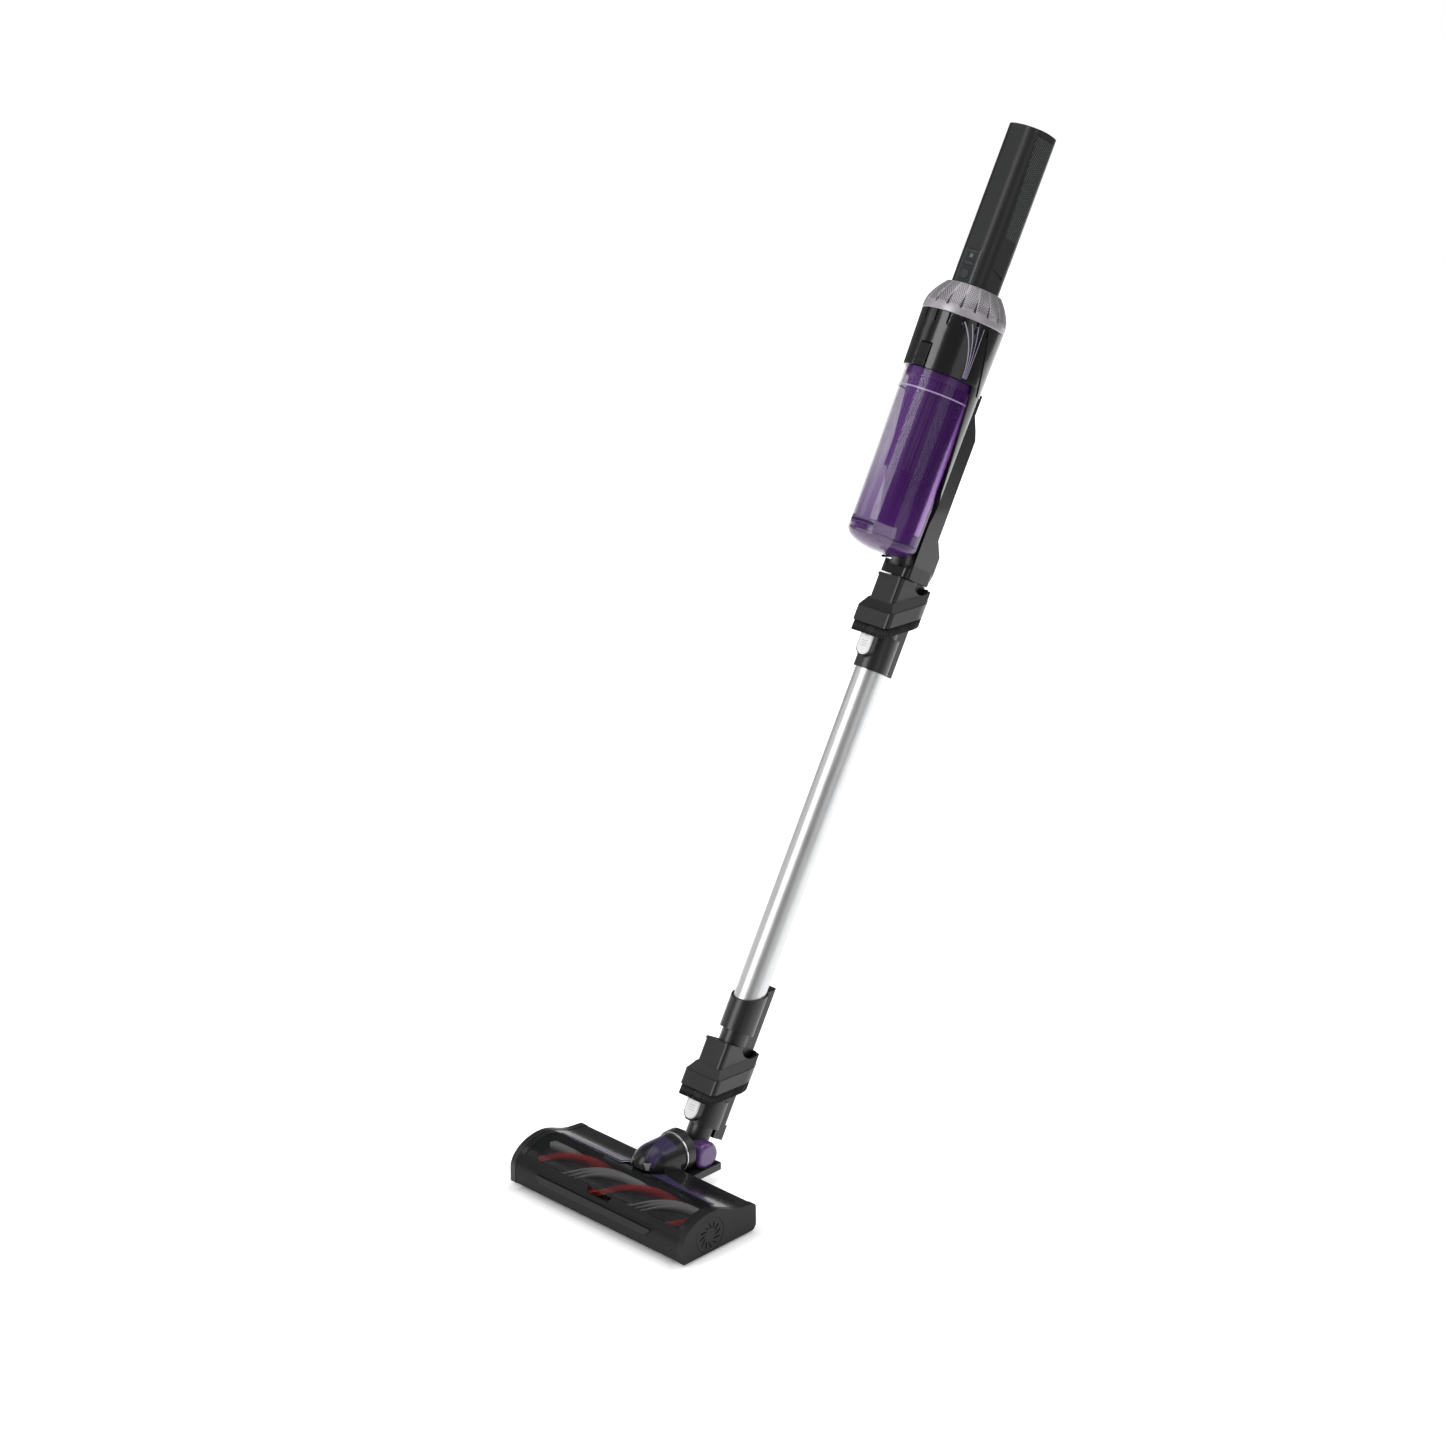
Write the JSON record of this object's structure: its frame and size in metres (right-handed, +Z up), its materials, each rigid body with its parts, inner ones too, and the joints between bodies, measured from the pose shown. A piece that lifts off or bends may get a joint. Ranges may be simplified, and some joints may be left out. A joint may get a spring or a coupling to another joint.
{
  "type": "cordless stick vacuum cleaner",
  "caption": "Upright stick vacuum with a powered roller floor head, tilting elbow, metal wand, slide-down dusting brushes, see-through dust bin and slim handle.",
  "frame": {"origin": "centre of the floor head's footprint, on the floor", "axes": "+Z up, -Y to the front of the floor head, +X along the roller; the stick leans back 30 degrees towards +Y"},
  "size_m": [0.25, 0.6653, 1.0302],
  "materials": {
    "head_charcoal": "satin moulded plastic",
    "gloss_black": "gloss moulded plastic",
    "satin_black": "satin moulded plastic",
    "cap_grey": "satin grey plastic",
    "smoke_clear": "clear smoked plastic",
    "red_bristle": "nylon bristle",
    "felt_grey": "soft felt",
    "steel": "turned steel",
    "motor_steel": "drawn steel can",
    "brass": "turned brass",
    "belt_rubber": "moulded rubber",
    "wheel_rubber": "soft rubber",
    "violet_trim": "metallic violet trim",
    "silver_trim": "silver trim",
    "drum_purple": "translucent purple plastic",
    "bin_purple": "transparent purple plastic",
    "white_plastic": "white moulded plastic",
    "tube_aluminium": "satin anodised tube",
    "bristle_black": "nylon bristle",
    "cover_grey": "grey painted plastic",
    "ring_silver": "silver-lavender lacquer",
    "mesh_grey": "etched mesh",
    "foam_grey": "open-cell foam",
    "cell_blue": "sleeved steel cell",
    "board_green": "circuit board",
    "lead_grey": "insulated lead"
  },
  "bodies": {
    "stick": {"foot_coupling": "satin_black", "elbow_drum": "drum_purple", "hinge_pin": "steel", "lower_collar": "satin_black", "wand_tube": "tube_aluminium", "wand_wiring": "lead_grey", "upper_clamp": "satin_black", "spine_duct": "gloss_black", "duct_cover": "cover_grey", "motor_housing": "gloss_black", "exhaust_foam": "foam_grey", "suction_motor": "motor_steel", "handle_shell": "satin_black", "handle_cap": "satin_black", "grip_inlays": "satin_black", "control_panel": "satin_black", "battery_cells": "cell_blue", "circuit_board": "board_green", "charge_socket": "satin_black"},
    "swivel": {"swivel_collar": "satin_black"},
    "rear_roller": {"rear_roller": "wheel_rubber"},
    "head": {"base_tray": "head_charcoal", "top_cover": "gloss_black", "window": "smoke_clear", "front_bumper": "head_charcoal", "left_end_cap": "satin_black", "right_end_cap": "cap_grey", "roller_bearings": "steel", "brush_motor": "motor_steel", "dome_cover": "gloss_black", "dome_lens": "silver_trim", "accent_strips": "violet_trim", "swivel_ring": "silver_trim", "head_screws": "steel", "drive_belt": "belt_rubber"},
    "roller": {"roller_core": "satin_black", "red_bristles": "red_bristle", "felt_strips": "felt_grey"},
    "motor_pulley": {"motor_pulley": "brass"},
    "roller_plug": {"roller_plug": "cap_grey"},
    "left_wheel": {"left_sole_wheel": "wheel_rubber"},
    "right_wheel": {"right_sole_wheel": "wheel_rubber"},
    "foot_button": {"foot_button": "white_plastic"},
    "wand_button": {"wand_button": "white_plastic"},
    "lower_brush": {"lower_brush_sleeve": "satin_black", "lower_brush_bristles": "bristle_black"},
    "upper_brush": {"upper_brush_sleeve": "satin_black", "upper_brush_bristles": "bristle_black"},
    "bin": {"dust_bin": "bin_purple", "mesh_shroud": "mesh_grey", "cyclone_cone": "gloss_black", "foam_filter": "foam_grey"},
    "lid": {"bin_lid": "bin_purple", "lid_seal": "belt_rubber", "lid_hinge_pin": "steel"},
    "bin_button": {"bin_button": "gloss_black"},
    "power_button": {"power_button": "cap_grey"},
    "boost_button": {"boost_button": "cap_grey"},
    "filter_ring": {"filter_ring": "ring_silver"},
    "impeller": {"impeller": "tube_aluminium"}
  },
  "joints": [
    {"name": "stick_tilt", "type": "hinge", "parent": "stick", "child": "swivel", "pos_m": [0, 0.088, 0.033], "axis": [1, 0, 0], "range_deg": [-19, 57]},
    {"name": "head_twist", "type": "hinge", "parent": "swivel", "child": "head", "pos_m": [0, 0.062, 0.041], "axis": [0, 1, 0], "range_deg": [-40, 40]},
    {"name": "rear_roller_spin", "type": "hinge", "parent": "swivel", "child": "rear_roller", "pos_m": [0, 0.081, 0.006], "axis": [1, 0, 0], "continuous": true},
    {"name": "brush_roller_spin", "type": "hinge", "parent": "head", "child": "roller", "pos_m": [0, -0.0135, 0.022], "axis": [1, 0, 0], "continuous": true},
    {"name": "motor_pulley_spin", "type": "hinge", "parent": "head", "child": "motor_pulley", "pos_m": [-0.1, 0.0375, 0.017], "axis": [1, 0, 0], "continuous": true},
    {"name": "roller_plug_turn", "type": "hinge", "parent": "head", "child": "roller_plug", "pos_m": [0.118, -0.0135, 0.022], "axis": [1, 0, 0], "range_deg": [0, 45]},
    {"name": "left_wheel_spin", "type": "hinge", "parent": "head", "child": "left_wheel", "pos_m": [-0.083, 0.023, 0.007], "axis": [1, 0, 0], "continuous": true},
    {"name": "right_wheel_spin", "type": "hinge", "parent": "head", "child": "right_wheel", "pos_m": [0.083, 0.023, 0.007], "axis": [1, 0, 0], "continuous": true},
    {"name": "foot_button_press", "type": "slide", "parent": "stick", "child": "foot_button", "axis": [0, 0.866, -0.5], "range_m": [0, 0.0015], "stiffness_N_per_m": 600, "springref_m": -0.001},
    {"name": "wand_button_press", "type": "slide", "parent": "stick", "child": "wand_button", "axis": [0, 0.866, -0.5], "range_m": [0, 0.0015], "stiffness_N_per_m": 600, "springref_m": -0.001},
    {"name": "lower_brush_slide", "type": "slide", "parent": "stick", "child": "lower_brush", "axis": [0, -0.5, -0.866], "range_m": [0, 0.016]},
    {"name": "upper_brush_slide", "type": "slide", "parent": "stick", "child": "upper_brush", "axis": [0, -0.5, -0.866], "range_m": [0, 0.016]},
    {"name": "bin_tilt_out", "type": "hinge", "parent": "stick", "child": "bin", "pos_m": [0, 0.40526, 0.61771], "axis": [1, 0, 0], "range_deg": [0, 15]},
    {"name": "lid_open", "type": "hinge", "parent": "bin", "child": "lid", "pos_m": [0, 0.3375, 0.65914], "axis": [-1, 0, 0], "range_deg": [0, 90]},
    {"name": "bin_button_press", "type": "slide", "parent": "stick", "child": "bin_button", "axis": [0, 0.866, -0.5], "range_m": [0, 0.0015], "stiffness_N_per_m": 600, "springref_m": -0.001},
    {"name": "power_button_press", "type": "slide", "parent": "stick", "child": "power_button", "axis": [0, 0.866, -0.5], "range_m": [0, 0.0008], "stiffness_N_per_m": 600, "springref_m": -0.001},
    {"name": "boost_button_press", "type": "slide", "parent": "stick", "child": "boost_button", "axis": [0, 0.866, -0.5], "range_m": [0, 0.0008], "stiffness_N_per_m": 600, "springref_m": -0.001},
    {"name": "filter_ring_twist", "type": "hinge", "parent": "stick", "child": "filter_ring", "pos_m": [0, 0.49564, 0.85305], "axis": [0, 0.5, 0.866], "range_deg": [0, 40]},
    {"name": "impeller_spin", "type": "hinge", "parent": "stick", "child": "impeller", "pos_m": [0, 0.46364, 0.79762], "axis": [0, 0.5, 0.866], "continuous": true}
  ],
  "couplings": [
    {"joint": "motor_pulley_spin", "follows": "brush_roller_spin", "ratio": 1.5556}
  ]
}
